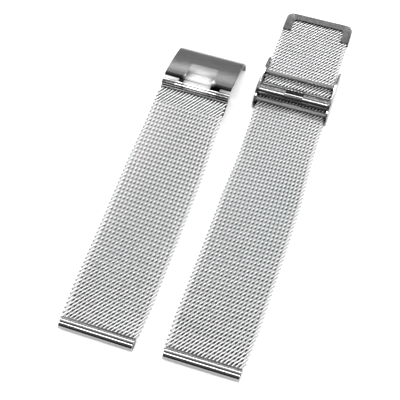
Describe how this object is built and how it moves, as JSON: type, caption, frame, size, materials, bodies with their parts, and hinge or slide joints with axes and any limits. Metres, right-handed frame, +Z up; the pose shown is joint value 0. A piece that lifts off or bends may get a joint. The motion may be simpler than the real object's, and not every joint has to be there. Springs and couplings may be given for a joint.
{
  "type": "milanese mesh watch band",
  "caption": "Woven steel mesh watch band in two straps, with lug tubes for spring bars, a slider with a locking lever, and a hinged hook-and-cover clasp.",
  "frame": {"origin": "on the table, under the middle of the box round both straps", "axes": "+X across the straps from the short one to the long one, +Y along the straps from the lug tubes to the clasp, +Z up out of the outer face of the weave"},
  "size_m": [0.0484, 0.1198, 0.0088],
  "materials": {
    "woven_steel": "bright drawn wire, woven and rolled flat",
    "polished_steel": "polished stainless steel",
    "brushed_steel": "satin stainless steel"
  },
  "bodies": {
    "lug_ends": {"short_lug_tube": "polished_steel", "short_lug_mesh": "woven_steel", "long_lug_tube": "polished_steel", "long_lug_mesh": "woven_steel"},
    "short_band_1": {"short_mesh_1": "woven_steel"},
    "short_band_2": {"short_mesh_2": "woven_steel"},
    "short_band_3": {"short_mesh_3": "woven_steel"},
    "hinge_end": {"short_hinge_mesh": "woven_steel", "hinge_plate": "polished_steel", "hinge_pin": "polished_steel"},
    "cover": {"clasp_cover": "brushed_steel"},
    "hook": {"clasp_hook": "polished_steel"},
    "long_band_1": {"long_mesh_1": "woven_steel"},
    "long_band_2": {"long_mesh_2": "woven_steel"},
    "long_band_3": {"long_mesh_3": "woven_steel"},
    "tail_end": {"long_tail_mesh": "woven_steel", "tail_cap": "brushed_steel"},
    "slider": {"slider_frame": "polished_steel", "slider_bridge": "polished_steel", "slider_front_bar": "polished_steel", "lever_pin": "polished_steel"},
    "lever": {"locking_lever": "polished_steel"}
  },
  "joints": [
    {"name": "short_flex_1", "type": "hinge", "parent": "lug_ends", "child": "short_band_1", "pos_m": [-0.01423, -0.05071, 0.00125], "axis": [0.9999, -0.0122, 0], "range_deg": [-35, 35]},
    {"name": "short_flex_2", "type": "hinge", "parent": "short_band_1", "child": "short_band_2", "pos_m": [-0.01397, -0.02971, 0.0018], "axis": [0.9999, -0.0122, 0], "range_deg": [-35, 35]},
    {"name": "short_flex_3", "type": "hinge", "parent": "short_band_2", "child": "short_band_3", "pos_m": [-0.01371, -0.00876, 0.00345], "axis": [0.9999, -0.0122, 0], "range_deg": [-35, 35]},
    {"name": "short_flex_4", "type": "hinge", "parent": "short_band_3", "child": "hinge_end", "pos_m": [-0.01346, 0.0121, 0.00601], "axis": [0.9999, -0.0122, 0], "range_deg": [-35, 35]},
    {"name": "long_flex_1", "type": "hinge", "parent": "lug_ends", "child": "long_band_1", "pos_m": [0.0132, -0.05091, 0.00125], "axis": [1, 0, 0], "range_deg": [-35, 35]},
    {"name": "long_flex_2", "type": "hinge", "parent": "long_band_1", "child": "long_band_2", "pos_m": [0.0132, -0.0329, 0.00125], "axis": [1, 0, 0], "range_deg": [-35, 35]},
    {"name": "long_flex_3", "type": "hinge", "parent": "long_band_2", "child": "long_band_3", "pos_m": [0.0132, -0.01488, 0.00125], "axis": [1, 0, 0], "range_deg": [-35, 35]},
    {"name": "long_flex_4", "type": "hinge", "parent": "long_band_3", "child": "tail_end", "pos_m": [0.0132, 0.00314, 0.00125], "axis": [1, 0, 0], "range_deg": [-35, 35]},
    {"name": "cover_hinge", "type": "hinge", "parent": "hinge_end", "child": "cover", "pos_m": [-0.01338, 0.01851, 0.00711], "axis": [0.9999, -0.0122, 0], "range_deg": [-5, 105]},
    {"name": "hook_swing", "type": "hinge", "parent": "cover", "child": "hook", "pos_m": [-0.01338, 0.01851, 0.00711], "axis": [0.9999, -0.0122, 0], "range_deg": [-60, 6]},
    {"name": "slider_travel", "type": "slide", "parent": "tail_end", "child": "slider", "axis": [0, 1, 0], "range_m": [-0.016, 0.012]},
    {"name": "lever_pivot", "type": "hinge", "parent": "slider", "child": "lever", "pos_m": [0.0132, 0.02724, 0.0035], "axis": [1, 0, 0], "range_deg": [0, 95]}
  ]
}
